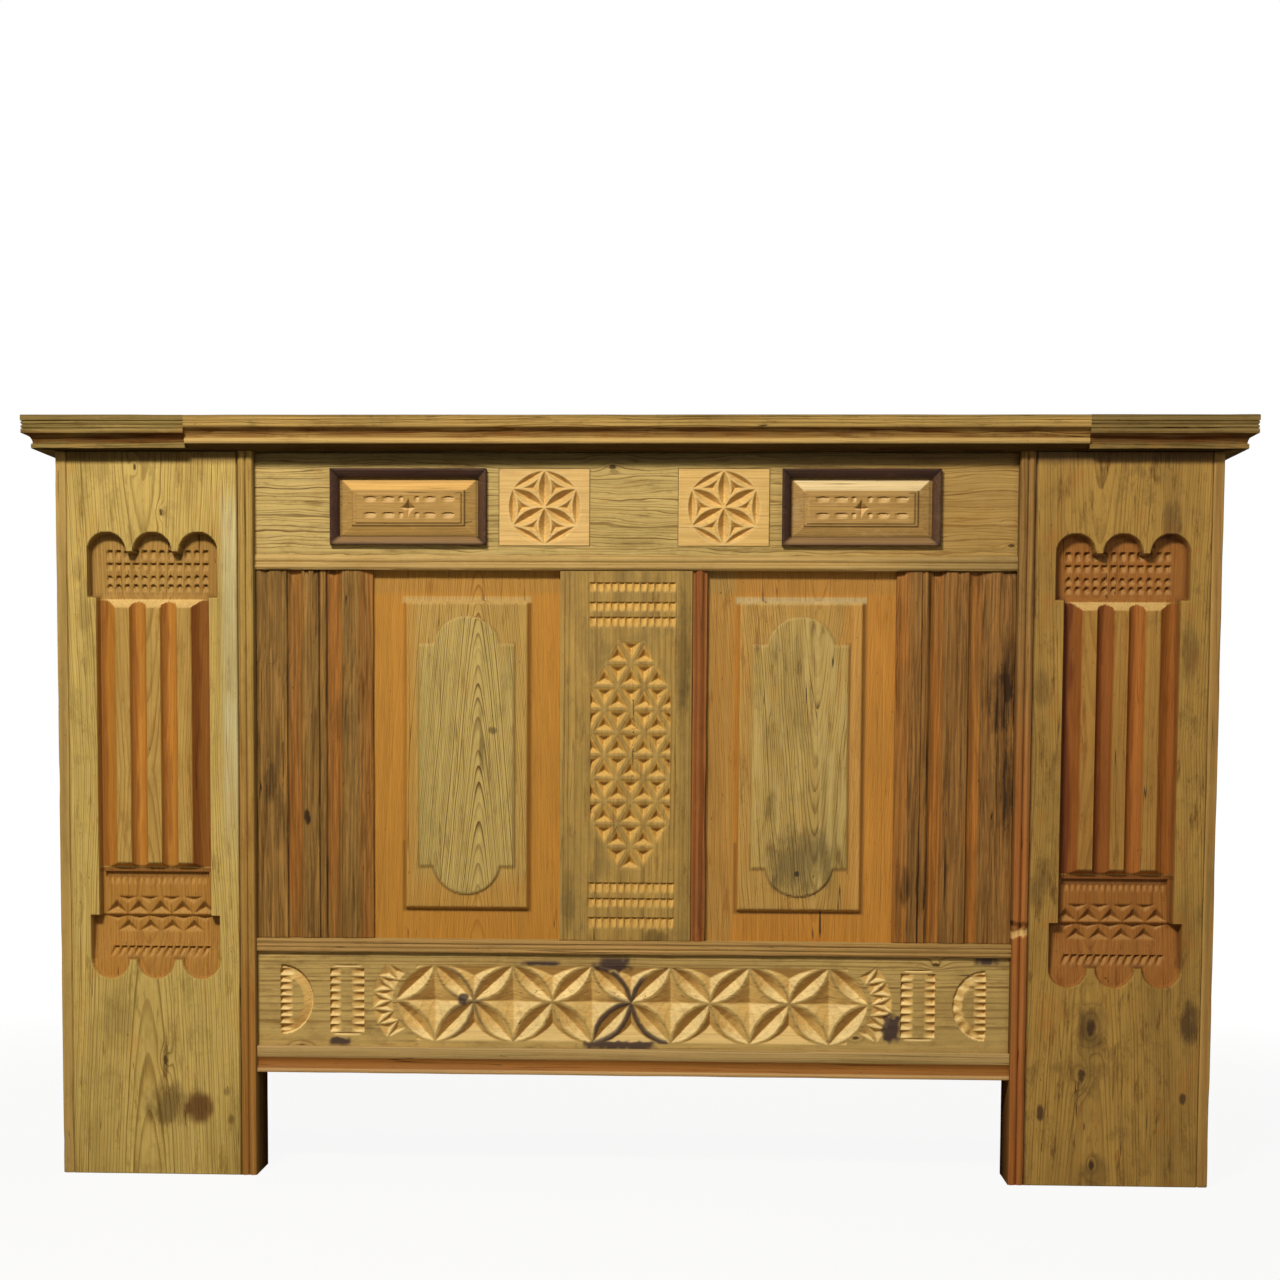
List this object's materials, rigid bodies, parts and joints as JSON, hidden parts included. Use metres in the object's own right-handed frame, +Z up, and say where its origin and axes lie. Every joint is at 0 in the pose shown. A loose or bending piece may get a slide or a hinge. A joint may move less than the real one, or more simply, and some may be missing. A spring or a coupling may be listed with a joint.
{
  "type": "bar cabinet",
  "caption": "Carved pine bar cabinet with arched-niche pilasters, panelled front, moulded cornice, and shelves and hinged doors on the servers' side.",
  "frame": {"origin": "on the floor under the middle of the overall box", "axes": "+X along the bar to the right as a guest sees it, +Y from the guests' side to the servers' side, +Z up"},
  "size_m": [1.7, 0.54, 1.07],
  "materials": {
    "cornice_pine": "satin",
    "pilaster_pine": "satin",
    "cheek_pine": "satin",
    "frieze_pine": "satin",
    "fresh_pine": "satin",
    "panel_pine": "satin",
    "weathered_pine": "matte",
    "dark_walnut": "satin",
    "red_bead": "satin",
    "carcass_pine": "matte",
    "aged_brass": "aged"
  },
  "bodies": {
    "cabinet": {"base_cap_moulding": "frieze_pine", "base_foot_moulding": "frieze_pine", "base_rail": "frieze_pine", "bay_shelves": "carcass_pine", "cabinet_floor": "carcass_pine", "centre_bead": "red_bead", "centre_stile": "frieze_pine", "cornice_front_left": "cornice_pine", "cornice_front_middle": "cornice_pine", "cornice_front_right": "cornice_pine", "cornice_return_left": "cornice_pine", "cornice_return_right": "cornice_pine", "cupboard_shelf": "carcass_pine", "door_posts": "carcass_pine", "end_plank_front_left": "carcass_pine", "end_plank_front_right": "carcass_pine", "end_plank_rear_left": "carcass_pine", "end_plank_rear_right": "carcass_pine", "field_panel_left": "panel_pine", "field_panel_right": "panel_pine", "floor_ledgers": "carcass_pine", "fluted_stile_left": "weathered_pine", "fluted_stile_right": "weathered_pine", "frieze_bead": "frieze_pine", "frieze_board": "frieze_pine", "frieze_frame_left": "dark_walnut", "frieze_frame_right": "dark_walnut", "frieze_tablet_left": "panel_pine", "frieze_tablet_right": "panel_pine", "hinge_pins": "aged_brass", "hinge_post_leaves": "aged_brass", "partition_left": "carcass_pine", "partition_right": "carcass_pine", "pilaster_board_left": "pilaster_pine", "pilaster_board_right": "pilaster_pine", "pilaster_cheek_left": "cheek_pine", "pilaster_cheek_right": "cheek_pine", "rear_bottom_rail": "carcass_pine", "rear_post_left": "carcass_pine", "rear_post_right": "carcass_pine", "rear_top_rail": "carcass_pine", "rosette_block_left": "fresh_pine", "rosette_block_right": "fresh_pine", "shelf_cleats": "carcass_pine", "top_bearers": "carcass_pine", "top_plank_front": "carcass_pine", "top_plank_middle": "carcass_pine", "top_plank_rear": "carcass_pine", "turn_button_screw": "aged_brass"},
    "door_right": {"door_right_hinge_leaves": "aged_brass", "door_right_knob": "dark_walnut", "door_right_panel": "carcass_pine", "door_right_rails": "carcass_pine", "door_right_stiles": "carcass_pine"},
    "door_left": {"door_left_hinge_leaves": "aged_brass", "door_left_knob": "dark_walnut", "door_left_panel": "carcass_pine", "door_left_rails": "carcass_pine", "door_left_stiles": "carcass_pine"},
    "button": {"turn_button": "dark_walnut"}
  },
  "joints": [
    {"name": "door_right_hinge", "type": "hinge", "parent": "cabinet", "child": "door_right", "pos_m": [0.33625, 0.23435, 0.59], "axis": [0, 0, -1], "range_deg": [0, 110]},
    {"name": "door_left_hinge", "type": "hinge", "parent": "cabinet", "child": "door_left", "pos_m": [-0.33625, 0.23435, 0.59], "axis": [0, 0, 1], "range_deg": [0, 110]},
    {"name": "turn_button_pivot", "type": "hinge", "parent": "cabinet", "child": "button", "pos_m": [0, 0.236, 1.004], "axis": [0, 1, 0], "range_deg": [0, 90]}
  ]
}
